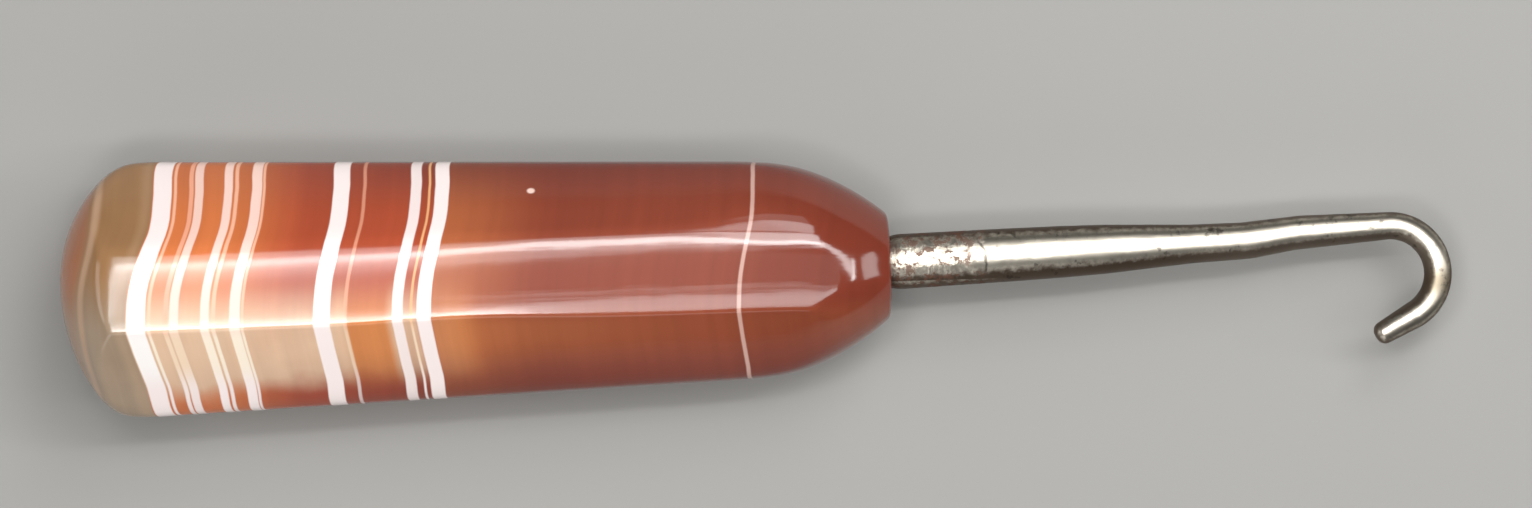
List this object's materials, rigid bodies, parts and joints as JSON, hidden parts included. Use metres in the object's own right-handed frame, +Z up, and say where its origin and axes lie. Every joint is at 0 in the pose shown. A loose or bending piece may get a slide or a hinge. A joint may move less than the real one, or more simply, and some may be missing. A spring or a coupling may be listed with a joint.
{
  "type": "button hook",
  "caption": "Small button hook: a tapered agate handle ground to flats, with a tapered nickel-plated steel wire hook cemented into its nose.",
  "frame": {"origin": "centre of the bounding box on the surface that the handle's lowest flat rests on", "axes": "+X from the handle's butt towards the hook, +Z up from the resting flat, and the hook's point turns towards -Y"},
  "size_m": [0.0846, 0.0156, 0.0136],
  "materials": {
    "agate": "polished",
    "nickel_steel": "polished",
    "cement": "matte"
  },
  "bodies": {
    "root": {"agate_handle": "agate", "steel_hook": "nickel_steel", "socket_cement": "cement"}
  },
  "joints": []
}
